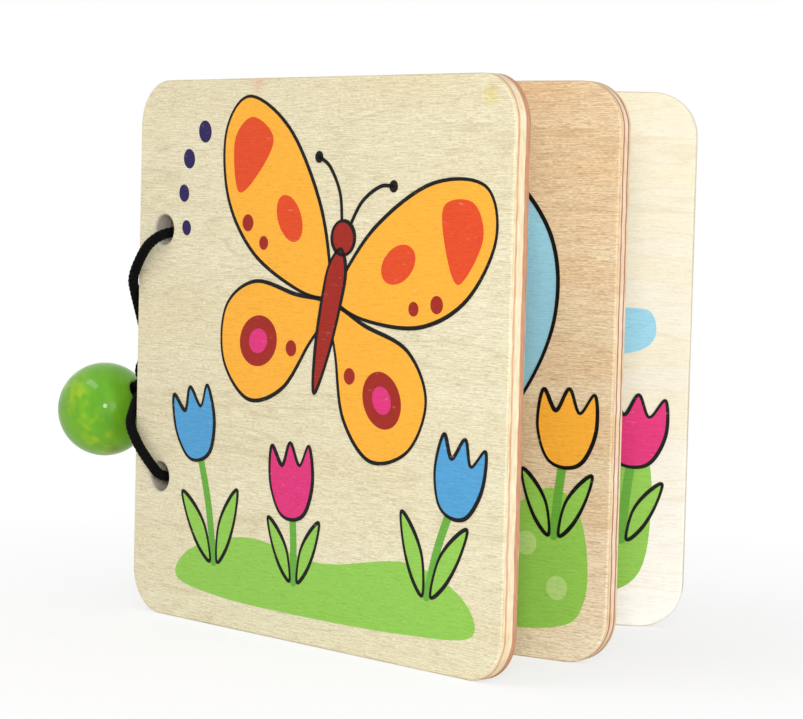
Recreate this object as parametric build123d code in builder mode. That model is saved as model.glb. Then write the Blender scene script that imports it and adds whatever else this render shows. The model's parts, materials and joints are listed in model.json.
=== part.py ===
"""Wooden picture book: three plywood leaves on a cord binding, with a turned wooden bead at the spine.

The leaves stand on their bottom edges, fanned open about the spine. +Z is up, the middle leaf lies along X
with the spine at its -X end, and the front cover is on the -Y side. The origin is in the middle of the
middle leaf's bottom edge.
"""

import os
from math import cos, radians, sin, tan

from build123d import *

# Leaf sizes, in millimetres
LEAF_WIDTH = 110.0
LEAF_HEIGHT = 110.0
LEAF_THICKNESS = 4.0
LEAF_GAP = 0.3  # play between two closed leaves
CORNER_RADIUS = 9.0
EDGE_ROUNDING = 0.5  # sanded edges, all round both faces
HOLE_DIAMETER = 6.0
HOLE_INSET = 8.6  # spine edge to the middle of a hole
HOLE_SPACING = 51.0
HOLE_MID_HEIGHT = 54.0  # halfway between a leaf's two holes
HOLE_ROUNDING = 0.4

# How far the covers stand open, in degrees from closed
FRONT_ANGLE = 14.0
BACK_ANGLE = 25.0

# Bead sizes, and its place from the spine edge of the middle leaf
BEAD_DIAMETER = 20.0
BEAD_REACH = 17.0  # out from the spine
BEAD_SETBACK = 3.0  # behind the middle leaf's mid-plane
BEAD_HEIGHT = 40.25
BORE_DEPTH = 8.0
BORE_RISE = 25.0  # the bore's mouth looks up by this angle
BORE_TURN = 6.0  # and to the back by this one
MOUTH_ROUNDING = 0.6

# Cord sizes and clearances
CORD_DIAMETER = 2.2
CORD_CLEARANCE = 0.25  # to the faces it lies along
STRAND_GAP = 0.2  # between the two cord ends in the bead
BORE_CLEARANCE = 0.25
END_CLEARANCE = 0.5  # cord end to the bottom of the bore
FOLD_ANGLE = 80.0  # a sharper turn is a fold round a hole's rim
FOLD_RADIUS = 2.5
RUN_SHARE = 0.45  # of its shorter run that each end of a bend may take up

SPINE_X = -LEAF_WIDTH / 2
UPPER_HOLE_HEIGHT = HOLE_MID_HEIGHT + HOLE_SPACING / 2
LOWER_HOLE_HEIGHT = HOLE_MID_HEIGHT - HOLE_SPACING / 2
STRAND_OFFSET = (CORD_DIAMETER + STRAND_GAP) / 2
BORE_DIAMETER = 2 * STRAND_OFFSET + CORD_DIAMETER + 2 * BORE_CLEARANCE

# The cord's two ends, from a hole of the front cover round the spine to the bead. Each point is the distance
# along the cover from its spine edge, out from its front face, and up from the hole's middle.
UPPER_STRAND = [
    (10.3, 0.85, -0.6),
    (7.0, 2.0, -2.4),
    (3.6, 1.55, -4.7),
    (-0.05, 1.55, -10.1),
    (-2.1, -0.75, -13.3),
    (-3.35, -3.75, -19.5),
    (-4.3, -6.3, -26.0),
    (-7.25, -5.65, -30.4),
]
LOWER_STRAND = [
    (10.3, 0.85, -0.2),
    (7.15, 1.85, 3.1),
    (3.35, 1.75, 6.1),
    (-0.35, 1.4, 10.2),
    (-2.15, -1.0, 12.9),
    (-4.6, -3.9, 15.6),
]


def leaf_plane(side, angle):
    """Mid-plane of a leaf turned about its hinge line: x runs from the spine, y up and z to the front."""
    half_step = (LEAF_THICKNESS + LEAF_GAP) / 2
    turn = radians(side * angle)
    to_front = Vector(sin(turn), -cos(turn), 0)
    hinge = Vector(SPINE_X, side * half_step, 0)
    return Plane(
        origin=hinge - to_front * side * half_step,
        x_dir=Vector(cos(turn), sin(turn), 0),
        z_dir=to_front,
    )


FRONT_PLANE = leaf_plane(-1, FRONT_ANGLE)
MIDDLE_PLANE = leaf_plane(0, 0)
BACK_PLANE = leaf_plane(1, BACK_ANGLE)

rise, turn_back = radians(BORE_RISE), radians(BORE_TURN)
BORE_AXIS = Vector(cos(rise) * cos(turn_back), cos(rise) * sin(turn_back), sin(rise))
BEAD_PLANE = Plane(
    origin=(SPINE_X - BEAD_REACH, BEAD_SETBACK, BEAD_HEIGHT),
    x_dir=Vector(0, 0, 1).cross(BORE_AXIS),
    z_dir=BORE_AXIS,
)


def make_leaf(plane):
    """One plywood leaf with rounded corners, sanded edges and its two binding holes."""
    holes = [(HOLE_INSET, UPPER_HOLE_HEIGHT), (HOLE_INSET, LOWER_HOLE_HEIGHT)]
    with BuildPart() as leaf:
        with BuildSketch(plane):
            with Locations((LEAF_WIDTH / 2, LEAF_HEIGHT / 2)):
                RectangleRounded(LEAF_WIDTH, LEAF_HEIGHT, CORNER_RADIUS)
        extrude(amount=LEAF_THICKNESS / 2, both=True)
        faces = leaf.faces().filter_by(plane)
        fillet(faces.edges(), EDGE_ROUNDING)
        with BuildSketch(plane):
            with Locations(*holes):
                Circle(HOLE_DIAMETER / 2)
        extrude(amount=LEAF_THICKNESS / 2, both=True, mode=Mode.SUBTRACT)
        rims = leaf.faces().filter_by(plane).edges().filter_by(GeomType.CIRCLE)
        hole_rims = rims.filter_by(lambda rim: abs(rim.radius - HOLE_DIAMETER / 2) < 1e-3)
        fillet(hole_rims, HOLE_ROUNDING)
    return leaf.part


def make_bead():
    """A turned ball with a blind bore that takes both ends of the cord."""
    with BuildPart(BEAD_PLANE) as bead:
        Sphere(BEAD_DIAMETER / 2)
        with Locations((0, 0, BEAD_DIAMETER / 2)):
            Hole(BORE_DIAMETER / 2, depth=BORE_DEPTH)
        bore_axis = Axis(BEAD_PLANE.origin, BEAD_PLANE.z_dir)
        mouth = bead.edges().filter_by(GeomType.CIRCLE).sort_by(bore_axis)[-1]
        fillet(mouth, MOUTH_ROUNDING)
    return bead.part


def strand_route(strand, hole_height):
    """Places of one strand's points, from the hole in the front cover towards the bead."""
    face = LEAF_THICKNESS / 2
    return [FRONT_PLANE.from_local_coords((s, hole_height + up, face + out)) for s, out, up in strand]


def bore_route(offset):
    """Two places in the bead's bore, from just outside its mouth to the cord's glued end."""
    mouth = BEAD_DIAMETER / 2
    end = mouth - BORE_DEPTH + END_CLEARANCE
    return [BEAD_PLANE.from_local_coords((0, offset, depth)) for depth in (mouth + CORD_DIAMETER, end)]


def back_turn(hole_height):
    """Place behind the back cover where the cord turns from the hole onto the face."""
    behind = LEAF_THICKNESS / 2 + CORD_DIAMETER / 2 + CORD_CLEARANCE
    return BACK_PLANE.from_local_coords((HOLE_INSET, hole_height, -behind))


def cord_route():
    """The whole cord, from its upper end in the bead through the leaves and back to its lower end."""
    middle_upper = MIDDLE_PLANE.from_local_coords((HOLE_INSET, UPPER_HOLE_HEIGHT, 0))
    middle_lower = MIDDLE_PLANE.from_local_coords((HOLE_INSET, LOWER_HOLE_HEIGHT, 0))
    upper = strand_route(UPPER_STRAND, UPPER_HOLE_HEIGHT) + bore_route(STRAND_OFFSET)
    lower = strand_route(LOWER_STRAND, LOWER_HOLE_HEIGHT) + bore_route(-STRAND_OFFSET)
    through = [middle_upper, back_turn(UPPER_HOLE_HEIGHT), back_turn(LOWER_HOLE_HEIGHT), middle_lower]
    return upper[::-1] + through + lower


def corner_radii(route):
    """The largest bend that each corner's two runs leave room for, and no more than a fold's at a rim."""
    radii = []
    for before, corner, after in zip(route, route[1:], route[2:]):
        arriving, leaving = corner - before, after - corner
        turn = arriving.get_angle(leaving)
        room = RUN_SHARE * min(arriving.length, leaving.length) / tan(radians(turn) / 2)
        radii.append(min(room, FOLD_RADIUS) if turn > FOLD_ANGLE else room)
    return radii


def make_cord():
    """The binding cord, one round tube along its route."""
    route = cord_route()
    radii = corner_radii(route)
    print("cord bend radii:", [round(radius, 1) for radius in radii])
    with BuildPart() as cord:
        with BuildLine() as path:
            FilletPolyline(*route, radius=radii)
        with BuildSketch(Plane(origin=path.line @ 0, z_dir=path.line % 0)):
            Circle(CORD_DIAMETER / 2)
        sweep(path=path.line)
    length = path.wire().length
    print("cord length:", round(length, 1), "section from its volume:", round(cord.part.volume / length, 3))
    return cord.part


PIECES = {
    "front_cover": make_leaf(FRONT_PLANE),
    "middle_page": make_leaf(MIDDLE_PLANE),
    "back_cover": make_leaf(BACK_PLANE),
    "spine_bead": make_bead(),
    "binding_cord": make_cord(),
}

os.makedirs("parts", exist_ok=True)
for name, piece in PIECES.items():
    piece.label = name
    export_step(piece, f"parts/{name}.step")
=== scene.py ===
"""Looks of the wooden picture book: printed plywood leaves, a braided cord and a lacquered bead."""

import json
from collections import namedtuple
from math import ceil, cos, pi, radians, sin, tau

import bmesh
import bpy
from mathutils import Matrix, Vector


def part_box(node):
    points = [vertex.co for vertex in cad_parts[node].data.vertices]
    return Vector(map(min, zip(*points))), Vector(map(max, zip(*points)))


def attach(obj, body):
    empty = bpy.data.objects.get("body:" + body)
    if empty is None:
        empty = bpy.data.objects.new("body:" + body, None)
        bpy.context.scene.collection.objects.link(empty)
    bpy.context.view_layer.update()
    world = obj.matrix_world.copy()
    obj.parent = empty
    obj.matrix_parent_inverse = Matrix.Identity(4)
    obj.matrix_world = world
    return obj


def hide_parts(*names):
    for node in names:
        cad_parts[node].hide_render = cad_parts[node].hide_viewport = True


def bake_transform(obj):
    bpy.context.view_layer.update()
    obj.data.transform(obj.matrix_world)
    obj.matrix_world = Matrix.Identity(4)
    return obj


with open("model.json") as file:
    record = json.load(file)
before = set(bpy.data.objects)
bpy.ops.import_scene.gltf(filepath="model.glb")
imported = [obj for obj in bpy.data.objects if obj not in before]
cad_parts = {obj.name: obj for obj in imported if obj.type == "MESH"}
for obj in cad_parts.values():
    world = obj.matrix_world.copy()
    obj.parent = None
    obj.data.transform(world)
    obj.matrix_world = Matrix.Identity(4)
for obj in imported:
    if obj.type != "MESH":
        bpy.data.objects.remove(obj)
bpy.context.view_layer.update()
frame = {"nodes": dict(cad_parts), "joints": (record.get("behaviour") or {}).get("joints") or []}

MM = 0.001
UP = Vector((0, 0, 1))

# Leaf and bead sizes and places, from the frame
JOINTS = {joint["name"]: joint for joint in frame["joints"]}
PAGE_LOW, PAGE_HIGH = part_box("middle_page")
SPINE_X = PAGE_LOW.x
FACE = (PAGE_HIGH.y - PAGE_LOW.y) / 2  # from a leaf's mid-plane to its faces
BEAD_LOW, BEAD_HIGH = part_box("spine_bead")
BEAD_MIDDLE = (BEAD_LOW + BEAD_HIGH) / 2
BEAD_RADIUS = (BEAD_HIGH.x - BEAD_LOW.x) / 2

# The cord, its holes and the bead's bore
CORD_DIAMETER = 2.2 * MM
CORD_CLEARANCE = 0.25 * MM
STRAND_GAP = 0.2 * MM
HOLE_RADIUS = 3.0 * MM
HOLE_INSET = 8.6 * MM
UPPER_HOLE_HEIGHT = 79.5 * MM
LOWER_HOLE_HEIGHT = 28.5 * MM
BORE_DEPTH = 8.0 * MM
BORE_RISE = radians(25.0)
BORE_TURN = radians(6.0)
CORD_END_CLEARANCE = 0.5 * MM

# The cord's two ends, from a hole of the front cover round the spine to the bead, in millimetres. Each
# point is the distance along the cover from its spine edge, out from its front face, and up from the hole.
UPPER_STRAND = [
    (10.3, 0.85, -0.6),
    (7.0, 2.0, -2.4),
    (3.6, 1.55, -4.7),
    (-0.05, 1.55, -10.1),
    (-2.1, -0.75, -13.3),
    (-3.35, -3.75, -19.5),
    (-4.3, -6.3, -26.0),
    (-7.25, -5.65, -30.4),
]
LOWER_STRAND = [
    (10.3, 0.85, -0.2),
    (7.15, 1.85, 3.1),
    (3.35, 1.75, 6.1),
    (-0.35, 1.4, 10.2),
    (-2.15, -1.0, 12.9),
    (-4.6, -3.9, 15.6),
]
BACK_FOLD = 10.0 * MM  # from the cord's turn behind the back cover to the next point of its route
SPLINE_STEPS = 40  # from one point of the cord's route to the next

# The braid: strands wound both ways over a core
BRAID_STRANDS = 6  # each way
BRAID_PITCH = 7.0 * MM
BRAID_WAVE = 0.08 * MM  # how far a strand goes over and under
STRAND_HALF_WIDTH = 0.36 * MM
STRAND_HALF_HEIGHT = 0.17 * MM
STRAND_SIDES = 6
CORE_SHARE = 0.85  # of the braid's own radius
CORE_SIDES = 12
RING_STEP = 0.15 * MM
LINK_RING_STEP = 0.05 * MM  # finer where the cord spans two leaves


def srgb(red, green, blue):
    """A colour given as screen values from 0 to 255, as linear values."""
    shares = [value / 255 for value in (red, green, blue)]
    linear = [s / 12.92 if s <= 0.04045 else ((s + 0.055) / 1.055) ** 2.4 for s in shares]
    return (*linear, 1.0)


def axes_matrix(x_axis, y_axis, z_axis, origin):
    """A placement from its three axes and its origin."""
    matrix = Matrix((x_axis, y_axis, z_axis)).transposed().to_4x4()
    matrix.translation = origin
    return matrix


def leaf_matrix(side, hinge_name):
    """Mid-plane of a cover as it stands: x runs from the spine, y up and z out of the front face."""
    joint = JOINTS[hinge_name]
    turn = side * radians(-joint["range_deg"][0])
    hinge = Vector(joint["pos_m"])
    along = Vector((cos(turn), sin(turn), 0))
    to_front = Vector((sin(turn), -cos(turn), 0))
    origin = hinge - to_front * side * abs(hinge.y)
    return axes_matrix(along, UP, to_front, (origin.x, origin.y, 0))


def bead_matrix():
    """The bead's middle, with z along its bore to the mouth."""
    level = cos(BORE_RISE)
    bore = Vector((level * cos(BORE_TURN), level * sin(BORE_TURN), sin(BORE_RISE)))
    across = UP.cross(bore).normalized()
    return axes_matrix(across, bore.cross(across), bore, BEAD_MIDDLE)


FRONT = leaf_matrix(-1, "front_cover_hinge")
BACK = leaf_matrix(1, "back_cover_hinge")
MIDDLE = axes_matrix(Vector((1, 0, 0)), UP, Vector((0, -1, 0)), (SPINE_X, 0, 0))
BEAD = bead_matrix()


def add_object(name, mesh):
    """A mesh as an object of the scene."""
    piece = bpy.data.objects.new(name, mesh)
    bpy.context.scene.collection.objects.link(piece)
    return piece


def add_piece(name, bm, soft):
    """An object made of a finished edit mesh, shaded soft or flat."""
    bmesh.ops.recalc_face_normals(bm, faces=bm.faces)
    for face in bm.faces:
        face.smooth = soft
    mesh = bpy.data.meshes.new(name)
    bm.to_mesh(mesh)
    bm.free()
    return add_object(name, mesh)


def dress(piece, material):
    """One material all over a piece."""
    piece.data.materials.clear()
    piece.data.materials.append(material)


def wall(bm, first, second):
    """Faces between two closed rings of vertices."""
    count = len(first)
    for index in range(count):
        after = (index + 1) % count
        bm.faces.new((first[index], first[after], second[after], second[index]))


class Nodes:
    """A material's node tree, with short calls that add and join nodes."""

    def __init__(self, name):
        self.material = bpy.data.materials.new(name)
        self.material.use_nodes = True
        self.tree = self.material.node_tree
        self.surface = self.tree.nodes["Principled BSDF"]

    def feed(self, socket, value):
        """Joins a socket to another node's output, or sets it to a plain value."""
        if isinstance(value, bpy.types.NodeSocket):
            self.tree.links.new(value, socket)
        else:
            socket.default_value = value

    def add(self, kind, inputs, **settings):
        """A node with its settings and inputs."""
        node = self.tree.nodes.new(kind)
        for key, value in settings.items():
            setattr(node, key, value)
        for key, value in inputs.items():
            self.feed(node.inputs[key], value)
        return node

    def set(self, **inputs):
        """Inputs of the surface shader, with spaces written as underscores."""
        for key, value in inputs.items():
            self.feed(self.surface.inputs[key.replace("_", " ")], value)

    def made_at(self):
        """Places on the piece as it was made."""
        return self.add("ShaderNodeTexCoord", {}).outputs["Object"]

    def coordinates(self, matrix):
        """Places on the piece as it was made, in the axes of a placement."""
        inputs = {
            "Vector": self.made_at(),
            "Location": matrix.translation,
            "Rotation": matrix.to_euler(),
        }
        return self.add("ShaderNodeMapping", inputs, vector_type="TEXTURE").outputs[0]

    def stretched(self, place, scale):
        """Places multiplied by a scale for each axis."""
        return self.add("ShaderNodeVectorMath", {0: place, 1: scale}, operation="MULTIPLY").outputs[0]

    def measured(self, operation, first, second):
        """A number from two vectors, such as their distance."""
        node = self.add("ShaderNodeVectorMath", {0: first, 1: second}, operation=operation)
        return node.outputs["Value"]

    def noise(self, place, scale, detail=3.0, distortion=0.0):
        """Cloudy values around a half, with a scale for each axis in waves a metre."""
        inputs = {
            "Vector": self.stretched(place, scale),
            "Scale": 1.0,
            "Detail": detail,
            "Distortion": distortion,
        }
        return self.add("ShaderNodeTexNoise", inputs).outputs[0]

    def fitted(self, value, low, high, to_low=0.0, to_high=1.0):
        """A value carried from one range to another, and held at its ends."""
        inputs = {0: value, 1: low, 2: high, 3: to_low, 4: to_high}
        return self.add("ShaderNodeMapRange", inputs, clamp=True).outputs[0]

    def math(self, operation, first, second=0.0):
        """A number from one or two others."""
        return self.add("ShaderNodeMath", {0: first, 1: second}, operation=operation).outputs[0]

    def times(self, first, second):
        """The product of two numbers."""
        return self.math("MULTIPLY", first, second)

    def between(self, factor, first, second):
        """A number between two others."""
        return self.add("ShaderNodeMix", {0: factor, 2: first, 3: second}, data_type="FLOAT").outputs[0]

    def mix(self, factor, first, second, blend_type="MIX"):
        """A colour between two others."""
        node = self.add("ShaderNodeMix", {0: factor}, data_type="RGBA", blend_type=blend_type)
        self.feed(node.inputs[6], first)
        self.feed(node.inputs[7], second)
        return node.outputs[2]

    def tint(self, share, colour, tone):
        """A colour multiplied by a tone, as far as a share goes."""
        return self.mix(share, colour, tone, "MULTIPLY")

    def ramp(self, value, stops):
        """Colours by value, blended between stops of (place, colour)."""
        node = self.add("ShaderNodeValToRGB", {0: value})
        elements = node.color_ramp.elements
        while len(elements) < len(stops):
            elements.new(1.0)
        for element, (place, colour) in zip(elements, stops):
            element.position = place
            element.color = colour
        return node.outputs[0]

    def bump(self, height, strength, distance):
        """Fine relief from a height, as deep as a distance."""
        inputs = {"Height": height, "Strength": strength, "Distance": distance}
        self.set(Normal=self.add("ShaderNodeBump", inputs).outputs[0])


# Wood, with scales in waves a metre along the grain, across it and through the leaf

NOISE_SPAN = (0.3, 0.7)  # most of a noise's values
FIBRE_SCALE = (1100.0, 5600.0, 1500.0)
LONG_FIBRE_SCALE = (220.0, 5200.0, 1500.0)
FIBRE_SPAN = (0.72, 1.28)  # of the sum of both
FLECK_SCALE = (560.0, 4000.0, 800.0)
FLECK_SPAN = (0.6, 0.74)
FLECK_SHARE = 0.6  # of the fibres' depth
EDGE_SCALE = (300.0, 300.0, 1900.0)  # on the edges the plies' fibres run along the edge
EDGE_FIBRE_DEPTH = 0.45
STREAK_SCALE = (45.0, 900.0, 300.0)
STREAK_SPAN = (0.42, 0.66)
FIGURE_SCALE = (9.0, 75.0, 60.0)
FIGURE_SPAN = (0.33, 0.67)
FIGURE_STRENGTH = 0.5
GROWTH_LINE = 0.5  # the figure's value along a growth line
GROWTH_WIDTH = 0.012
GROWTH_STRENGTH = 0.22
CLOUD_SCALE = (14.0, 22.0, 20.0)
CLOUD_SPAN = (0.35, 0.65)
CLOUD_STRENGTH = 0.4
LOW_LIGHT_START = 7.0 * MM  # where the painted light on a lower part starts to fade
STAIN_STRENGTH = 0.5
STAIN_CORE = 0.2  # of a stain's radius

# Edges and holes
BAND_BLUR = 0.015  # of the thickness, on each side of a glue line
WOBBLE_SCALE = (160.0, 160.0, 0.0)
WOBBLE = 0.12 * MM  # how far a glue line wanders
FACE_SPAN = (0.3, 0.8)  # of a surface's turn, from an edge to a face
CORNER_RISE = (0.02, 0.35)  # and the rounded corner between them, darkened by dirt and painted shade
CORNER_FALL = (0.5, 0.97)
# dirt and painted shade on the rounded corners, patchy
DIRT_AND_SHADE_SCALE = (60.0, 60.0, 60.0)
DIRT_AND_SHADE_STRENGTHS = (0.2, 0.8)
EDGE_DIRT_AND_SHADE = srgb(206, 192, 158)
# painted shade on the walls of the binding holes, fading out just past their rims
HOLE_SHADE_TONE = srgb(190, 185, 174)
HOLE_SHADE_STRENGTH = 0.8
HOLE_SHADE_FADE = (HOLE_RADIUS + 0.1 * MM, HOLE_RADIUS + 0.5 * MM)

WOOD_ROUGHNESS = (0.66, 0.52)
FLAT = (1.0, 1.0, 0.0)  # keeps a place's two ways along a leaf

CREAM = srgb(238, 233, 206)
CORE = srgb(233, 220, 192)
GLUE_PINK = srgb(212, 172, 142)
RED_PLY = srgb(192, 142, 114)
TAN = srgb(238, 227, 198)
PALE_TAN = srgb(244, 230, 208)
# paler tone for painted light on the middle page's lower front face
LIT_LOW_TAN = srgb(251, 239, 213)
GREY_LINE = srgb(164, 126, 112)
WHITE_WOOD = srgb(233, 232, 222)
STRAW = srgb(230, 214, 184)
# near white for painted light on the back cover's lower front face
LIT_LOW_WHITE = srgb(252, 252, 250)

# Plies from a leaf's back face to its front, each with its upper limit in shares of the thickness
FRONT_PLIES = [(0.07, CREAM), (0.36, RED_PLY), (0.74, CORE), (0.87, GLUE_PINK), (1.02, CREAM)]
PAGE_PLIES = [(0.24, TAN), (0.36, GREY_LINE), (0.66, PALE_TAN), (0.77, GREY_LINE), (1.02, TAN)]
BACK_PLIES = [(0.27, WHITE_WOOD), (0.37, STRAW), (0.64, WHITE_WOOD), (0.74, STRAW), (1.02, WHITE_WOOD)]

# Faint stains, each with its middle and radius in millimetres
COVER_STAINS = [
    ((103.5, 106.0), 2.6, srgb(246, 234, 120)),
    ((38.0, 109.0), 2.8, srgb(248, 196, 196)),
]

# A leaf's wood: the tones of its fibres and its figure, the depth of its fibres and streaks, and the tone
# of painted light on a lower part of its front face, how much that takes over and the height at which it
# ends
Wood = namedtuple("Wood", "leaf plies dark warm fibres streaks low_tone low_share low_end stains")

WOODS = {
    "front_cover": Wood(
        leaf=FRONT,
        plies=FRONT_PLIES,
        dark=srgb(196, 180, 152),
        warm=srgb(246, 238, 222),
        fibres=0.43,
        streaks=0.08,
        low_tone=CREAM,
        low_share=0.0,
        low_end=50.0 * MM,
        stains=COVER_STAINS,
    ),
    "middle_page": Wood(
        leaf=MIDDLE,
        plies=PAGE_PLIES,
        dark=srgb(190, 152, 118),
        warm=srgb(244, 212, 176),
        fibres=0.48,
        streaks=0.1,
        # painted light: a paler lower part of the front face
        low_tone=LIT_LOW_TAN,
        low_share=0.85,
        low_end=32.0 * MM,
        stains=[],
    ),
    "back_cover": Wood(
        leaf=BACK,
        plies=BACK_PLIES,
        dark=srgb(222, 206, 176),
        warm=srgb(252, 243, 214),
        fibres=0.24,
        streaks=0.08,
        # painted light: a near white lower part of the front face
        low_tone=LIT_LOW_WHITE,
        low_share=0.9,
        low_end=50.0 * MM,
        stains=[],
    ),
}


def ply_stops(plies):
    """Colour stops through a leaf, from its back face to its front."""
    stops = []
    start = 0.0
    for limit, colour in plies:
        if start > 0.0:
            stops.append((start + BAND_BLUR, colour))
        else:
            stops.append((0.0, colour))
        stops.append((min(limit - BAND_BLUR, 1.0), colour))
        start = limit
    return stops


def ply_colour(nodes, place, through, plies):
    """The plies' colours through a leaf, with glue lines that wander a little."""
    wobble = nodes.fitted(nodes.noise(place, WOBBLE_SCALE), *NOISE_SPAN, -WOBBLE, WOBBLE)
    depth = nodes.fitted(nodes.math("ADD", through, wobble), -FACE, FACE)
    return nodes.ramp(depth, ply_stops(plies))


def face_fibres(nodes, place):
    """Fine fibres and short dark flecks of a face veneer, each from 0 to 1."""
    short_fibres = nodes.noise(place, FIBRE_SCALE, detail=0.0)
    long_fibres = nodes.noise(place, LONG_FIBRE_SCALE, detail=0.0)
    fibre = nodes.fitted(nodes.math("ADD", short_fibres, long_fibres), *FIBRE_SPAN)
    fleck = nodes.fitted(nodes.noise(place, FLECK_SCALE, detail=0.0), *FLECK_SPAN)
    return fibre, fleck


def figured(nodes, place, colour, wood, low_share, face_share):
    """A colour with the wood's slow figure, painted light on its lower part, its streaks and its growth
    lines.
    """
    figure = nodes.noise(place, FIGURE_SCALE, distortion=0.6)
    cloud = nodes.noise(place, CLOUD_SCALE, detail=2.0)
    streak = nodes.noise(place, STREAK_SCALE, distortion=0.5)
    from_line = nodes.math("ABSOLUTE", nodes.math("SUBTRACT", figure, GROWTH_LINE))
    growth = nodes.fitted(from_line, 0, GROWTH_WIDTH, GROWTH_STRENGTH, 0)
    colour = nodes.tint(nodes.fitted(figure, *FIGURE_SPAN, 0, FIGURE_STRENGTH), colour, wood.warm)
    colour = nodes.tint(nodes.fitted(cloud, *CLOUD_SPAN, 0, CLOUD_STRENGTH), colour, wood.warm)
    # painted light: the lower front face turns paler
    colour = nodes.mix(low_share, colour, wood.low_tone)
    colour = nodes.tint(nodes.fitted(streak, *STREAK_SPAN, 0, wood.streaks), colour, wood.dark)
    return nodes.tint(nodes.times(growth, face_share), colour, wood.dark)


def dirty_and_shaded(nodes, place, colour, square):
    """A colour with dirt and painted shade on the rounded corners between a leaf's faces and its edges."""
    corner = nodes.times(nodes.fitted(square, *CORNER_FALL, 1, 0), nodes.fitted(square, *CORNER_RISE))
    dirt_and_shade = nodes.fitted(nodes.noise(place, DIRT_AND_SHADE_SCALE), *NOISE_SPAN, *DIRT_AND_SHADE_STRENGTHS)
    return nodes.tint(nodes.times(corner, dirt_and_shade), colour, EDGE_DIRT_AND_SHADE)


def hole_shade_mask(nodes, place):
    """Where painted shade goes: 1 on the walls of the binding holes, and 0 beyond their rims."""
    flat = nodes.stretched(place, FLAT)
    upper = nodes.measured("DISTANCE", flat, (HOLE_INSET, UPPER_HOLE_HEIGHT, 0.0))
    lower = nodes.measured("DISTANCE", flat, (HOLE_INSET, LOWER_HOLE_HEIGHT, 0.0))
    return nodes.fitted(nodes.math("MINIMUM", upper, lower), *HOLE_SHADE_FADE, 1, 0)


def stained(nodes, place, colour, stains):
    """A colour with faint stains on it."""
    flat = nodes.stretched(place, FLAT)
    for (x, y), radius, tone in stains:
        distance = nodes.measured("DISTANCE", flat, (x * MM, y * MM, 0.0))
        share = nodes.fitted(distance, STAIN_CORE * radius * MM, radius * MM, STAIN_STRENGTH, 0)
        colour = nodes.tint(share, colour, tone)
    return colour


def plywood(name, wood):
    """Plywood: plies on the edges, a grained veneer on the faces, dirt and painted shade on the rounded
    edges, painted shade in the binding holes and painted light on the lower part of a front face.
    """
    nodes = Nodes(name)
    place = nodes.coordinates(wood.leaf)
    _, height, through = nodes.add("ShaderNodeSeparateXYZ", {0: place}).outputs
    facing = nodes.add("ShaderNodeTexCoord", {}).outputs["Normal"]
    to_front = nodes.measured("DOT_PRODUCT", facing, wood.leaf.to_3x3().col[2])
    square = nodes.math("ABSOLUTE", to_front)
    face_share = nodes.fitted(square, *FACE_SPAN)
    # painted light on the lower part of the front face, fading out upwards
    low = nodes.fitted(height, LOW_LIGHT_START, wood.low_end, wood.low_share, 0)
    low_share = nodes.times(low, nodes.fitted(to_front, *FACE_SPAN))

    face_fibre, face_fleck = face_fibres(nodes, place)
    edge_fibre = nodes.fitted(nodes.noise(place, EDGE_SCALE), *NOISE_SPAN)
    fibre = nodes.between(face_share, edge_fibre, face_fibre)
    fleck = nodes.times(face_fleck, face_share)
    fibre_depth = nodes.between(face_share, EDGE_FIBRE_DEPTH, wood.fibres)
    hollow = nodes.times(nodes.math("SUBTRACT", 1.0, fibre), fibre_depth)

    colour = ply_colour(nodes, place, through, wood.plies)
    colour = figured(nodes, place, colour, wood, low_share, face_share)
    colour = nodes.tint(hollow, colour, wood.dark)
    colour = nodes.tint(nodes.fitted(fleck, 0, 1, 0, FLECK_SHARE * wood.fibres), colour, wood.dark)
    # dirt and painted shade on the rounded edges
    colour = dirty_and_shaded(nodes, place, colour, square)
    # painted shade in the binding holes
    colour = nodes.mix(nodes.times(hole_shade_mask(nodes, place), HOLE_SHADE_STRENGTH), colour, HOLE_SHADE_TONE)
    colour = stained(nodes, place, colour, wood.stains)
    roughness = nodes.fitted(fibre, 0, 1, *WOOD_ROUGHNESS)
    nodes.set(Base_Color=colour, Roughness=roughness, Specular_IOR_Level=0.35)
    nodes.bump(nodes.math("SUBTRACT", fibre, fleck), strength=0.25, distance=0.04 * MM)
    return nodes.material


def dress_leaves():
    """Plywood on the three leaves."""
    for node, wood in WOODS.items():
        dress(frame["nodes"][node], plywood(node + "_wood", wood))


# Bead, with places from its middle

THIN_BAND_FACING = Vector((0.72, 0.476, 0.504))  # across the band where the lacquer is thin
THIN_BAND_OFFSET = 3.0 * MM
THIN_BAND_FADE = (1.0 * MM, 4.0 * MM)
THIN_BAND_STRENGTHS = (0.7, 0.05)  # in the band and elsewhere
# a brown patch low on the bead
BROWN_PATCH_PLACE = Vector((5.0, -2.5, -8.3)) * MM
BROWN_PATCH_FADE = (0.6 * MM, 2.4 * MM)
BROWN_PATCH_STRENGTH = 0.7
PATCH_SCALE = (330.0, 330.0, 400.0)
PATCH_SPAN = (0.42, 0.66)
TURNING_SCALE = (90.0, 90.0, 420.0)  # streaks round the bore's axis
TURNING_SPAN = (0.35, 0.7)
TURNING_STRENGTH = 0.25
LACQUER_SCALE = (60.0, 60.0, 60.0)
LACQUER_ROUGHNESS = (0.3, 0.4)

DEEP_GREEN = srgb(100, 170, 34)
LIGHT_GREEN = srgb(118, 178, 42)
THIN_GREEN = srgb(166, 198, 24)
TURNING_TONE = srgb(120, 170, 90)
BROWN_PATCH_TONE = srgb(132, 108, 34)


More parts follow.
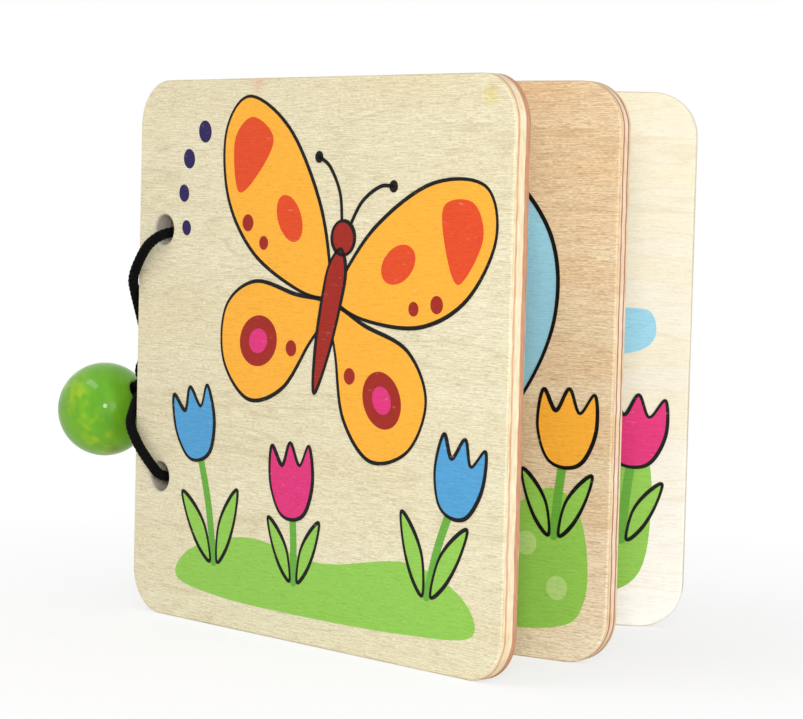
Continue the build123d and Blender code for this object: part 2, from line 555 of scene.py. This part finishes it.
def bead_lacquer():
    """Glossy green lacquer on turned wood, thin and yellowish in a band, with a brown patch low down."""
    nodes = Nodes("bead_lacquer")
    place = nodes.coordinates(BEAD)
    from_middle = nodes.coordinates(Matrix.Translation(BEAD_MIDDLE))
    across = nodes.measured("DOT_PRODUCT", from_middle, THIN_BAND_FACING)
    to_band = nodes.math("ABSOLUTE", nodes.math("ADD", across, THIN_BAND_OFFSET))
    band = nodes.fitted(to_band, *THIN_BAND_FADE, *THIN_BAND_STRENGTHS)
    patch = nodes.fitted(nodes.noise(place, PATCH_SCALE, detail=1.0, distortion=0.3), *PATCH_SPAN)
    turned = nodes.noise(place, TURNING_SCALE, detail=4.0, distortion=0.5)
    turning = nodes.fitted(turned, *TURNING_SPAN)
    slow = nodes.fitted(nodes.noise(place, LACQUER_SCALE, detail=1.0), *NOISE_SPAN)
    to_brown_patch = nodes.measured("DISTANCE", from_middle, BROWN_PATCH_PLACE)
    worn = nodes.fitted(patch, 0, 1, 0.5, 1)
    brown_patch = nodes.times(nodes.fitted(to_brown_patch, *BROWN_PATCH_FADE, BROWN_PATCH_STRENGTH, 0), worn)

    colour = nodes.mix(slow, DEEP_GREEN, LIGHT_GREEN)
    colour = nodes.mix(nodes.times(patch, band), colour, THIN_GREEN)
    colour = nodes.tint(nodes.fitted(turning, 0, 1, 0, TURNING_STRENGTH), colour, TURNING_TONE)
    colour = nodes.mix(brown_patch, colour, BROWN_PATCH_TONE)
    roughness = nodes.fitted(turning, 0, 1, *LACQUER_ROUGHNESS)
    nodes.set(Base_Color=colour, Roughness=roughness, Specular_IOR_Level=0.1)
    nodes.set(Coat_Weight=0.45, Coat_Roughness=0.08, Coat_IOR=1.4)
    nodes.bump(turning, strength=0.12, distance=0.08 * MM)
    return nodes.material


# Print, with its shapes in millimetres

INK_STEP = 0.03 * MM  # each layer of ink lies this much higher
INK_SINK = 0.01 * MM
LINE_WIDTH = 0.7  # of the black outlines
LINE_UNEVENNESS = 0.18  # of an outline's width
CURVE_STEPS = 10  # from one point of an outline to the next
CAP_STEPS = 8
ELLIPSE_STEPS = 40

INKS = {
    "yellow": srgb(250, 178, 58),
    "orange": srgb(224, 76, 34),
    "red": srgb(158, 38, 26),
    "pink": srgb(222, 52, 124),
    "blue": srgb(82, 160, 212),
    "sky": srgb(150, 208, 232),
    "violet": srgb(40, 28, 86),
    "green": srgb(146, 202, 84),
    "leaf": srgb(104, 172, 62),
    "mint": srgb(178, 216, 126),
    "cream": srgb(250, 238, 206),
    "black": srgb(9, 8, 8),
}
WEAR_SCALE = (420.0, 1500.0, 420.0)
WEAR_SPAN = (0.66, 0.76)
WEAR_STRENGTH = 0.1
WEAR_TONE = srgb(250, 240, 215)
INK_HOLLOW = srgb(205, 190, 180)
INK_HOLLOW_STRENGTH = 0.25
INK_FLECK = srgb(190, 170, 160)
INK_FLECK_STRENGTH = 0.15
INK_ROUGHNESS = (0.6, 0.5)

# Shapes about a middle of their own
UPPER_WING = [(1.5, 4), (8, 16), (20, 27), (33, 30), (38, 22), (34, 10), (24, 2), (10, -1), (1.5, 0)]
LOWER_WING = [
    (1.5, -1), (10, -2), (22, -3), (29, -10), (27, -20), (18, -25), (9, -20), (4, -10), (1.5, -5),
]
WING_TIP = [(24, 24), (31, 26.5), (35, 21), (31.5, 12), (27, 16)]
WING_EYE = (18, -13.5)
WING_SPOTS = [((27, 7), 3.2), ((21.5, 4.6), 2.6), ((8.5, -12), 3.0)]
BUTTERFLY_BODY = [(0, 9.5), (2.3, 6), (2.6, 0), (1.9, -10), (0, -18), (-1.9, -10), (-2.6, 0), (-2.3, 6)]
BUTTERFLY_HEAD = (0, 11.6)
ANTENNA = [(0.8, 13), (3, 19), (7, 23), (10.5, 24)]
TULIP = [
    (0, 11), (-2.6, 6.6), (-5.6, 10.4), (-6.4, 3.6), (-4, -2.4),
    (0, -4), (4, -2.4), (6.4, 3.6), (5.6, 10.4), (2.6, 6.6),
]
TULIP_LEAF = [(0, 0), (3.6, 3), (6.8, 9), (8.2, 15), (4.2, 12), (1, 7)]
STEM_WIDTH = 1.9
STEM_BEND = 0.06  # sideways, for each degree of the flower's turn
LEAF_SPREAD = 1.1  # from the stem's middle to the root of a leaf
LEAF_TURN = 0.5  # of the flower's turn
CLOUD = [(-13, -4), (-14, 1), (-9, 4), (-4, 8), (3, 7.5), (7, 4), (13, 3), (14, -2), (10, -5), (0, -5.6)]
BALLOON = [
    (0, 34), (18, 31), (31, 18), (33, 2), (26, -14), (13, -27), (7, -32),
    (-7, -32), (-13, -27), (-26, -14), (-33, 2), (-31, 18), (-18, 31),
]
BALLOON_CROWN = 33  # a gore reaches the envelope's line above this height
GORE_HEIGHT = 0.995  # and stays just inside it below
GORES = [(0.7, "yellow"), (0.36, "orange")]  # shares of the envelope's width
ROPE = [(6.5, -32), (6, -37), (5.4, -42)]
ROPE_WIDTH = 0.6
MUSHROOM_CAP = [
    (-24, 0), (-22, 12), (-12, 22), (0, 25), (12, 22),
    (22, 12), (24, 0), (12, -3.5), (0, -4.6), (-12, -3.5),
]
MUSHROOM_STEM = [(-8, 0), (-7, -10), (-9.5, -24), (-5, -27), (5, -27), (9.5, -24), (7, -10), (8, 0)]

# Shapes and places on the leaves, from the spine and up
FRONT_MOUND = [
    (15, 8.5), (20, 15), (38, 19), (60, 16.5), (84, 19.5), (99, 15), (102, 8), (84, 6), (55, 5.5), (30, 6),
]
DOT_TRAIL = [((16, 80), 2.8), ((15, 87), 3.2), ((16.5, 94), 3.6), ((21.5, 99.5), 4.0)]
MIDDLE_HILL = [
    (20, 8), (24, 17), (46, 25), (68, 20), (84, 26), (97, 33),
    (104, 27), (105, 12), (96, 6), (60, 5.5), (34, 6),
]
HILL_DOTS = [(33, 12), (50, 17), (80, 14), (92, 22), (99, 14)]
HILL_DOT_WIDTH = 4.6
BALLOON_MIDDLE = (64, 64)
BASKET = [(57.5, 22), (64, 21.4), (70.5, 22), (69.5, 13.5), (67, 11.4), (64, 11), (61, 11.4), (58.5, 13.5)]
BASKET_BANDS = [
    [(59.4, 14.6), (64, 14.1), (68.6, 14.6)],
    [(59.4, 18.4), (64, 17.9), (68.6, 18.4)],
]
BAND_WIDTH = 1.3
BACK_HILL = [
    (16, 8), (20, 18), (38, 24), (60, 22), (80, 30), (93, 40),
    (101, 38), (103, 24), (99, 9), (80, 6), (40, 5.5),
]
CAP_SPOTS = [((36, 60), 7), ((48, 69), 6), ((53, 58), 8.5), ((63, 63), 5.6)]


def smooth(points, closed=True):
    """Points along the smooth curve through the given ones."""
    count = len(points)
    curve = []
    for index in range(count if closed else count - 1):
        around = range(index - 1, index + 3)
        places = [step % count if closed else min(max(step, 0), count - 1) for step in around]
        a, b, c, d = (Vector(points[step]) for step in places)
        for step in range(CURVE_STEPS):
            t = step / CURVE_STEPS
            bend = (a * 2 - b * 5 + c * 4 - d) * t * t + (b * 3 - a - c * 3 + d) * t ** 3
            curve.append(b + ((c - a) * t + bend) / 2)
    return curve if closed else curve + [Vector(points[-1])]


def placed(points, place, turn=0.0, size=1.0, flip=1):
    """Points mirrored by a flip of -1, sized, turned by degrees and moved to a place."""
    spin = Matrix.Rotation(radians(turn), 2)
    return [spin @ Vector((flip * x, y)) * size + Vector(place) for x, y in points]


def ellipse(place, width, height, turn=0.0):
    """The loop round an ellipse."""
    angles = [tau * step / ELLIPSE_STEPS for step in range(ELLIPSE_STEPS)]
    return placed([(width / 2 * cos(a), height / 2 * sin(a)) for a in angles], place, turn)


def sideways(points, closed):
    """Directions across a line at each of its points."""
    last = len(points) - 1
    across = []
    for index in range(len(points)):
        before = points[index - 1] if closed else points[max(index - 1, 0)]
        after = points[(index + 1) % len(points)] if closed else points[min(index + 1, last)]
        along = (after - before).normalized()
        across.append(Vector((along.y, -along.x)))
    return across


def stroke(points, width):
    """The loop round a brush line with round ends."""
    line = smooth(points, closed=False)
    across = sideways(line, closed=False)
    right = [point + side * width / 2 for point, side in zip(line, across)]
    left = [point - side * width / 2 for point, side in zip(line, across)]

    def cap(point, side):
        ahead = Vector((-side.y, side.x))
        turns = [pi * step / CAP_STEPS for step in range(1, CAP_STEPS)]
        return [point + (side * cos(a) + ahead * sin(a)) * width / 2 for a in turns]

    return right + cap(line[-1], across[-1]) + left[::-1] + cap(line[0], -across[0])


def gore(share):
    """The loop round the part of the balloon that is inside a share of its width."""
    loop = []
    for x, y in smooth(BALLOON):
        height = GORE_HEIGHT if abs(y) < BALLOON_CROWN else 1
        loop.append(Vector((x * share, y * height)))
    return loop


class Print:
    """Ink on one leaf's front face, gathered by colour."""

    def __init__(self, page, leaf):
        self.page = page
        self.leaf = leaf
        self.inks = {}

    def film(self, ink, loop, height):
        """A ring of vertices of one ink along a loop, at a height over the wood."""
        if ink not in self.inks:
            self.inks[ink] = bmesh.new()
        verts = self.inks[ink].verts
        places = [Vector((x * MM, y * MM, FACE + height)) for x, y in loop]
        return [verts.new(self.leaf @ place) for place in places]

    def field(self, ink, loop, layer):
        """A flat field of ink inside a loop."""
        low = self.film(ink, loop, -INK_SINK)
        high = self.film(ink, loop, layer * INK_STEP)
        bm = self.inks[ink]
        wall(bm, low, high)
        bm.faces.new(high)
        bm.faces.new(low[::-1])

    def outline(self, loop, layer):
        """A black line along a loop, a little uneven in width as if drawn by hand."""
        across = sideways(loop, closed=True)
        count = len(loop)
        waves = [sin(2 * tau * step / count) for step in range(count)]
        halves = [LINE_WIDTH / 2 * (1 + LINE_UNEVENNESS * wave) for wave in waves]
        outer = [point + side * half for point, side, half in zip(loop, across, halves)]
        inner = [point - side * half for point, side, half in zip(loop, across, halves)]
        rings = [
            self.film("black", outer, -INK_SINK),
            self.film("black", outer, layer * INK_STEP),
            self.film("black", inner, layer * INK_STEP),
            self.film("black", inner, -INK_SINK),
        ]
        for first, second in zip(rings, rings[1:] + rings[:1]):
            wall(self.inks["black"], first, second)

    def drawn(self, ink, loop, layer):
        """A field of ink with a black outline."""
        self.field(ink, loop, layer)
        self.outline(loop, layer + 1)

    def tulip(self, ink, root, place, turn, leaf_size=0.95):
        """A flower on a stem from its root, with a leaf on each side."""
        bend = (Vector(root) + Vector(place)) / 2 + Vector((STEM_BEND * turn, 0))
        self.field("leaf", stroke([root, bend, place], STEM_WIDTH), 2)
        for flip in (1, -1):
            base = Vector(root) + Vector((flip * LEAF_SPREAD, 0))
            loop = placed(smooth(TULIP_LEAF), base, LEAF_TURN * turn, leaf_size, flip)
            self.drawn("green", loop, 2)
        self.drawn(ink, placed(smooth(TULIP), place, turn), 4)

    def finish(self, body):
        """The films of ink as pieces that go with a leaf."""
        for ink, bm in self.inks.items():
            name = f"{self.page}_print_{ink}"
            piece = add_piece(name, bm, soft=False)
            dress(piece, ink_material(name, self.leaf, INKS[ink]))
            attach(piece, body)


def ink_material(name, leaf, colour):
    """Flat print ink: matt, with the wood's fibres showing and a few pale worn specks."""
    nodes = Nodes(name)
    place = nodes.coordinates(leaf)
    fibre, fleck = face_fibres(nodes, place)
    wear = nodes.fitted(nodes.noise(place, WEAR_SCALE, detail=2.0), *WEAR_SPAN)
    shade = nodes.tint(nodes.fitted(fibre, 0, 1, INK_HOLLOW_STRENGTH, 0), colour, INK_HOLLOW)
    shade = nodes.tint(nodes.fitted(fleck, 0, 1, 0, INK_FLECK_STRENGTH), shade, INK_FLECK)
    shade = nodes.mix(nodes.times(wear, WEAR_STRENGTH), shade, WEAR_TONE)
    roughness = nodes.fitted(fibre, 0, 1, *INK_ROUGHNESS)
    nodes.set(Base_Color=shade, Roughness=roughness, Specular_IOR_Level=0.2)
    nodes.bump(fibre, strength=0.2, distance=0.03 * MM)
    return nodes.material


def print_butterfly(sheet, middle, turn, size):
    """A butterfly with open wings."""

    def at(points, flip=1):
        return placed(points, middle, turn, size, flip)

    for flip in (1, -1):
        sheet.drawn("yellow", at(smooth(LOWER_WING), flip), 2)
        sheet.drawn("yellow", at(smooth(UPPER_WING), flip), 2)
        sheet.field("orange", at(smooth(WING_TIP), flip), 3)
        sheet.field("red", at(ellipse(WING_EYE, 11, 9.5, -30), flip), 3)
        sheet.field("pink", at(ellipse(WING_EYE, 5.4, 4.6, -30), flip), 4)
        sheet.field("orange", at(ellipse((15.5, 11), 9.5, 6.4, 42), flip), 3)
        for spot, width in WING_SPOTS:
            sheet.field("red", at(ellipse(spot, width, width), flip), 3)
        sheet.field("black", at(stroke(ANTENNA, LINE_WIDTH), flip), 3)
        sheet.field("black", at(ellipse(ANTENNA[-1], 2.2, 2.2), flip), 3)
    sheet.drawn("red", at(smooth(BUTTERFLY_BODY)), 4)
    sheet.drawn("red", at(ellipse(BUTTERFLY_HEAD, 6.2, 6.2)), 4)


def print_front():
    """A butterfly over tulips, with a trail of dots."""
    sheet = Print("front", FRONT)
    sheet.field("green", smooth(FRONT_MOUND), 1)
    sheet.tulip("blue", (27, 13), (21, 37), 14)
    sheet.tulip("blue", (90, 14), (97, 33), -12)
    sheet.tulip("pink", (52, 12), (51, 28), 4, 0.8)
    for place, width in DOT_TRAIL:
        sheet.field("violet", ellipse(place, width, width * 1.12, 20), 1)
    print_butterfly(sheet, (61.5, 67.5), -14, 1.05)
    sheet.finish("front")


def print_balloon(sheet):
    """A hot-air balloon with its basket."""
    balloon = placed(smooth(BALLOON), BALLOON_MIDDLE)
    sheet.field("sky", balloon, 2)
    for layer, (share, ink) in enumerate(GORES, 3):
        sheet.drawn(ink, placed(gore(share), BALLOON_MIDDLE), layer)
    sheet.outline(balloon, 5)
    for flip in (-1, 1):
        sheet.field("black", stroke(placed(ROPE, BALLOON_MIDDLE, flip=flip), ROPE_WIDTH), 2)
    sheet.drawn("orange", smooth(BASKET), 3)
    for band in BASKET_BANDS:
        sheet.field("red", stroke(band, BAND_WIDTH), 4)


def print_middle():
    """A balloon over a hill."""
    sheet = Print("middle", MIDDLE)
    sheet.field("green", smooth(MIDDLE_HILL), 1)
    for place in HILL_DOTS:
        sheet.field("mint", ellipse(place, HILL_DOT_WIDTH, HILL_DOT_WIDTH), 2)
    sheet.field("sky", placed(smooth(CLOUD), (25, 88)), 1)
    print_balloon(sheet)
    sheet.tulip("yellow", (98, 24), (100, 41), -3, 0.8)
    sheet.finish("middle")


def print_back():
    """A mushroom on a hill."""
    sheet = Print("back", BACK)
    sheet.field("green", smooth(BACK_HILL), 1)
    sheet.field("sky", placed(smooth(CLOUD), (88, 62), 0, 1.05), 1)
    sheet.field("sky", placed(smooth(CLOUD), (24, 92), 0, 0.9), 1)
    sheet.drawn("cream", placed(smooth(MUSHROOM_STEM), (48, 50)), 2)
    sheet.drawn("orange", placed(smooth(MUSHROOM_CAP), (48, 52)), 4)
    for place, width in CAP_SPOTS:
        sheet.field("cream", ellipse(place, width, width * 0.85), 5)
    sheet.tulip("pink", (97, 18), (99, 37), -4, 0.8)
    sheet.finish("back")


# Cord

YARN_SCALE = (5200.0, 5200.0, 5200.0)
YARN_ROUGHNESS = (0.6, 0.85)
DYE_SCALE = (260.0, 260.0, 260.0)
DYE_SPAN = (0.35, 0.65)
CORD_BLACK = srgb(3, 3, 3)
CORD_FADED = srgb(9, 9, 9)


def strand_points(strand, hole_height):
    """Places of one strand's points, from the hole in the front cover towards the bead."""
    points = [Vector((s * MM, hole_height + up * MM, FACE + out * MM)) for s, out, up in strand]
    return [FRONT @ point for point in points]


def bore_points(offset):
    """Two places in the bead's bore, from just outside its mouth to the cord's glued end."""
    depths = (BEAD_RADIUS + CORD_DIAMETER, BEAD_RADIUS - BORE_DEPTH + CORD_END_CLEARANCE)
    return [BEAD @ Vector((0, offset, depth)) for depth in depths]


def back_points(hole_height, fold):
    """Where the cord turns from the hole onto the back cover's face, and the next point along that face."""
    behind = FACE + CORD_DIAMETER / 2 + CORD_CLEARANCE
    heights = (hole_height, hole_height + fold)
    return [BACK @ Vector((HOLE_INSET, height, -behind)) for height in heights]


def cord_route():
    """The whole cord, from its upper end in the bead through the leaves and back to its lower end."""
    offset = (CORD_DIAMETER + STRAND_GAP) / 2
    upper = strand_points(UPPER_STRAND, UPPER_HOLE_HEIGHT) + bore_points(offset)
    lower = strand_points(LOWER_STRAND, LOWER_HOLE_HEIGHT) + bore_points(-offset)
    middle_upper = MIDDLE @ Vector((HOLE_INSET, UPPER_HOLE_HEIGHT, 0))
    middle_lower = MIDDLE @ Vector((HOLE_INSET, LOWER_HOLE_HEIGHT, 0))
    turn_upper = back_points(UPPER_HOLE_HEIGHT, -BACK_FOLD)
    turn_lower = back_points(LOWER_HOLE_HEIGHT, BACK_FOLD)
    return upper[::-1] + [middle_upper] + turn_upper + turn_lower[::-1] + [middle_lower] + lower


def spline_line(points):
    """Points along the smooth spline that has the given control points."""
    curve = bpy.data.curves.new("cord_line", "CURVE")
    curve.dimensions = "3D"
    spline = curve.splines.new("NURBS")
    spline.points.add(len(points) - 1)
    for target, point in zip(spline.points, points):
        target.co = (*point, 1.0)
    spline.order_u = 3
    spline.use_endpoint_u = True
    spline.resolution_u = SPLINE_STEPS
    holder = bpy.data.objects.new("cord_line", curve)
    mesh = bpy.data.meshes.new_from_object(holder)
    line = [vertex.co.copy() for vertex in mesh.vertices]
    bpy.data.meshes.remove(mesh)
    bpy.data.objects.remove(holder)
    bpy.data.curves.remove(curve)
    return line


class Line:
    """A line through close points, with a steady side direction along it."""

    def __init__(self, points):
        self.points = points
        self.lengths = [0.0]
        for before, after in zip(points, points[1:]):
            self.lengths.append(self.lengths[-1] + (after - before).length)
        self.tangents = []
        for index in range(len(points)):
            before, after = points[max(index - 1, 0)], points[min(index + 1, len(points) - 1)]
            self.tangents.append((after - before).normalized())
        side = self.tangents[0].orthogonal().normalized()
        self.sides = []
        for tangent in self.tangents:
            side = (side - tangent * side.dot(tangent)).normalized()
            self.sides.append(side)

    def at(self, length):
        """Place, side and cross directions at a length from the start."""
        low, high = 0, len(self.lengths) - 2
        while low < high:
            half = (low + high + 1) // 2
            if self.lengths[half] <= length:
                low = half
            else:
                high = half - 1
        share = (length - self.lengths[low]) / (self.lengths[low + 1] - self.lengths[low])
        place = self.points[low].lerp(self.points[low + 1], share)
        tangent = self.tangents[low].lerp(self.tangents[low + 1], share).normalized()
        side = self.sides[low].lerp(self.sides[low + 1], share)
        side = (side - tangent * side.dot(tangent)).normalized()
        return place, side, tangent.cross(side)

    def crossing(self, matrix, height, after=0.0):
        """Length at which the line next passes a leaf's plane at a height above its mid-plane."""
        inverse = matrix.inverted()
        depths = [(inverse @ point).z - height for point in self.points]
        for index in range(len(depths) - 1):
            start = self.lengths[index]
            if start > after and depths[index] * depths[index + 1] <= 0:
                share = depths[index] / (depths[index] - depths[index + 1])
                return start + share * (self.lengths[index + 1] - start)
        raise ValueError("the cord doesn't pass that plane")


def skin_rings(bm, rings):
    """A closed tube over rings of places, with flat ends."""
    made = [[bm.verts.new(place) for place in ring] for ring in rings]
    for first, second in zip(made, made[1:]):
        wall(bm, first, second)
    bm.faces.new(made[0][::-1])
    bm.faces.new(made[-1])


def strand_ring(place, side, cross, angle, radius, lean):
    """One ring of a braid strand, lying flat on the cord and leaning along its winding."""
    outward = side * cos(angle) + cross * sin(angle)
    around = cross * cos(angle) - side * sin(angle)
    along = side.cross(cross)
    flat = around * cos(lean) - along * sin(lean)
    middle = place + outward * radius
    wide, high = flat * STRAND_HALF_WIDTH, outward * STRAND_HALF_HEIGHT
    corners = [tau * index / STRAND_SIDES for index in range(STRAND_SIDES)]
    return [middle + wide * cos(a) + high * sin(a) for a in corners]


def braid(name, line, start, end, step):
    """A stretch of the braided cord between two lengths along its line."""
    radius = CORD_DIAMETER / 2 - STRAND_HALF_HEIGHT - BRAID_WAVE
    turn = tau / BRAID_PITCH
    slope = radius * turn
    count = ceil((end - start) / step)
    stations = [start + (end - start) * index / count for index in range(count + 1)]
    frames = [(length, *line.at(length)) for length in stations]
    bm = bmesh.new()
    core = [tau * index / CORE_SIDES for index in range(CORE_SIDES)]
    skin_rings(bm, [
        [place + (side * cos(a) + cross * sin(a)) * radius * CORE_SHARE for a in core]
        for _, place, side, cross in frames
    ])
    for winding in (1, -1):
        lean = winding * slope / (1 + slope)
        for strand in range(BRAID_STRANDS):
            rings = []
            for length, place, side, cross in frames:
                angle = winding * turn * length + tau * strand / BRAID_STRANDS
                lift = winding * BRAID_WAVE * cos(BRAID_STRANDS * turn * length)
                rings.append(strand_ring(place, side, cross, angle, radius + lift, lean))
            skin_rings(bm, rings)
    return add_piece(name, bm, soft=True)


def cord_material():
    """Black polyester braid: matt yarn with uneven dye."""
    nodes = Nodes("black_cord")
    place = nodes.made_at()
    yarn = nodes.noise(place, YARN_SCALE, detail=2.0)
    dye = nodes.fitted(nodes.noise(place, DYE_SCALE, detail=2.0), *DYE_SPAN)
    roughness = nodes.fitted(yarn, *NOISE_SPAN, *YARN_ROUGHNESS)
    colour = nodes.mix(dye, CORD_BLACK, CORD_FADED)
    nodes.set(Base_Color=colour, Roughness=roughness, Specular_IOR_Level=0.08)
    nodes.bump(yarn, strength=0.5, distance=0.05 * MM)
    return nodes.material


def make_cord():
    """The binding cord in stretches split where it passes the leaves, the run behind the back cover going
    with that cover.
    """
    line = Line(spline_line(cord_route()))
    material = cord_material()
    front_up = line.crossing(FRONT, 0.0, line.crossing(FRONT, FACE))
    middle_up = line.crossing(MIDDLE, 0.0, front_up)
    back_up = line.crossing(BACK, 0.0, middle_up)
    back_low = line.crossing(BACK, 0.0, back_up + BACK_FOLD)
    middle_low = line.crossing(MIDDLE, 0.0, back_low)
    front_low = line.crossing(FRONT, 0.0, middle_low)
    end = line.lengths[-1]

    def stretch(name, start, stop, step=RING_STEP):
        piece = braid(name, line, start, stop, step)
        dress(piece, material)
        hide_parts("binding_cord")
        return piece

    def strand(name, start, stop, points):
        piece = stretch(name, start, stop)
        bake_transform(piece)

    def link(name, start, stop):
        piece = stretch(name, start, stop, LINK_RING_STEP)
        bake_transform(piece)

    strand("upper_cord_strand", 0.0, front_up, strand_points(UPPER_STRAND, UPPER_HOLE_HEIGHT))
    strand("lower_cord_strand", front_low, end, strand_points(LOWER_STRAND, LOWER_HOLE_HEIGHT))
    for name, front, middle, back in (
        ("upper", front_up, middle_up, back_up),
        ("lower", front_low, middle_low, back_low),
    ):
        first, last = sorted((front, middle))
        link(f"{name}_front_cord_link", first, last)
        first, last = sorted((middle, back))
        link(f"{name}_back_cord_link", first, last)
    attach(stretch("back_cord_run", back_up, back_low), "back")


# Stage, light and camera

WHITE = (1, 1, 1, 1)
FLOOR_SIZE = 6.0
FLOOR_WHITE = (0.93, 0.93, 0.93, 1.0)
SHADOW_SHARE = 0.3  # how much of the floor's own shading the camera sees near the book
SHADOW_FADE = (0.06, 0.2)  # from the book's middle, where that share starts to fade and where it ends
AMBIENT = 0.62

# Each lamp's place and target, its width and height, and its power in watts
LAMPS = {
    "key": ((0.29, -0.43, 0.165), (-0.01, 0, 0.055), 0.09, 0.09, 0.8),
    "side": ((0.55, -0.3, 0.14), (0.03, 0.02, 0.04), 0.3, 0.3, 0.85),
    "low": ((0.25, -0.09, 0.015), (0.03, 0.02, 0.02), 0.1, 0.03, 0.1),
    "top": ((-0.2, -0.3, 0.62), (-0.04, 0, 0.05), 0.4, 0.13, 1.0),
}

# The camera, as fitted to the edges of the leaves in the photograph
CAMERA_PLACE = (0.2936, -0.4356, 0.0876)
CAMERA_YAW = radians(33.43)  # turned to the left of +Y
CAMERA_PITCH = radians(3.54)  # looking down
CAMERA_ROLL = radians(1.44)
CAMERA_LENS = 118.7
SENSOR_WIDTH = 36.0


def make_floor():
    """A white floor that keeps a soft shadow under the book."""
    mesh = bpy.data.meshes.new("floor")
    half = FLOOR_SIZE / 2
    corners = [(-half, -half, 0), (half, -half, 0), (half, half, 0), (-half, half, 0)]
    mesh.from_pydata(corners, [], [(0, 1, 2, 3)])
    floor = add_object("floor", mesh)
    nodes = Nodes("floor_white")
    nodes.set(Base_Color=FLOOR_WHITE, Roughness=0.9, Specular_IOR_Level=0.0)
    distance = nodes.measured("DISTANCE", nodes.made_at(), (0.0, 0.0, 0.0))
    white_share = nodes.fitted(distance, *SHADOW_FADE, 1.0 - SHADOW_SHARE, 1.0)
    path = nodes.add("ShaderNodeLightPath", {})
    seen = nodes.times(path.outputs["Is Camera Ray"], white_share)
    white = nodes.add("ShaderNodeEmission", {"Color": WHITE, "Strength": 1.0})
    both = nodes.add("ShaderNodeMixShader", {0: seen, 1: nodes.surface.outputs[0], 2: white.outputs[0]})
    nodes.feed(nodes.tree.nodes["Material Output"].inputs["Surface"], both.outputs[0])
    dress(floor, nodes.material)


def make_world():
    """An even white surround that the camera and reflections see as white."""
    world = bpy.data.worlds.new("surround")
    world.use_nodes = True
    bpy.context.scene.world = world
    tree = world.node_tree
    background = tree.nodes["Background"]
    background.inputs["Color"].default_value = WHITE
    path = tree.nodes.new("ShaderNodeLightPath")
    direct = tree.nodes.new("ShaderNodeMath")
    direct.operation = "MAXIMUM"
    tree.links.new(path.outputs["Is Camera Ray"], direct.inputs[0])
    reflected = tree.nodes.new("ShaderNodeMath")
    reflected.operation = "MAXIMUM"
    tree.links.new(path.outputs["Is Glossy Ray"], reflected.inputs[0])
    tree.links.new(path.outputs["Is Transmission Ray"], reflected.inputs[1])
    tree.links.new(reflected.outputs[0], direct.inputs[1])
    strength = tree.nodes.new("ShaderNodeMapRange")
    strength.inputs[3].default_value = AMBIENT
    strength.inputs[4].default_value = 1.0
    tree.links.new(direct.outputs[0], strength.inputs[0])
    tree.links.new(strength.outputs[0], background.inputs["Strength"])


def add_lamp(name, place, target, width, height, power):
    """A soft lamp that looks at a target."""
    lamp = bpy.data.lights.new(name, "AREA")
    lamp.shape = "RECTANGLE"
    lamp.size = width
    lamp.size_y = height
    lamp.energy = power
    holder = bpy.data.objects.new(name, lamp)
    holder.location = place
    holder.rotation_euler = (Vector(target) - Vector(place)).to_track_quat("-Z", "Y").to_euler()
    bpy.context.scene.collection.objects.link(holder)


def make_camera():
    """The camera at the photograph's viewing angle."""
    data = bpy.data.cameras.new("camera")
    data.sensor_fit = "HORIZONTAL"
    data.sensor_width = SENSOR_WIDTH
    data.lens = CAMERA_LENS
    forward = Vector((
        -sin(CAMERA_YAW) * cos(CAMERA_PITCH),
        cos(CAMERA_YAW) * cos(CAMERA_PITCH),
        -sin(CAMERA_PITCH),
    ))
    level = Vector((cos(CAMERA_YAW), sin(CAMERA_YAW), 0))
    upright = level.cross(forward)
    right = level * cos(CAMERA_ROLL) + upright * sin(CAMERA_ROLL)
    camera = bpy.data.objects.new("camera", data)
    camera.matrix_world = axes_matrix(right, right.cross(forward), -forward, CAMERA_PLACE)
    bpy.context.scene.collection.objects.link(camera)
    bpy.context.scene.camera = camera


dress_leaves()
dress(frame["nodes"]["spine_bead"], bead_lacquer())
print_front()
print_middle()
print_back()
make_cord()
make_floor()
make_world()
for name, settings in LAMPS.items():
    add_lamp(name, *settings)
make_camera()

bpy.context.scene.view_settings.view_transform = "Standard"
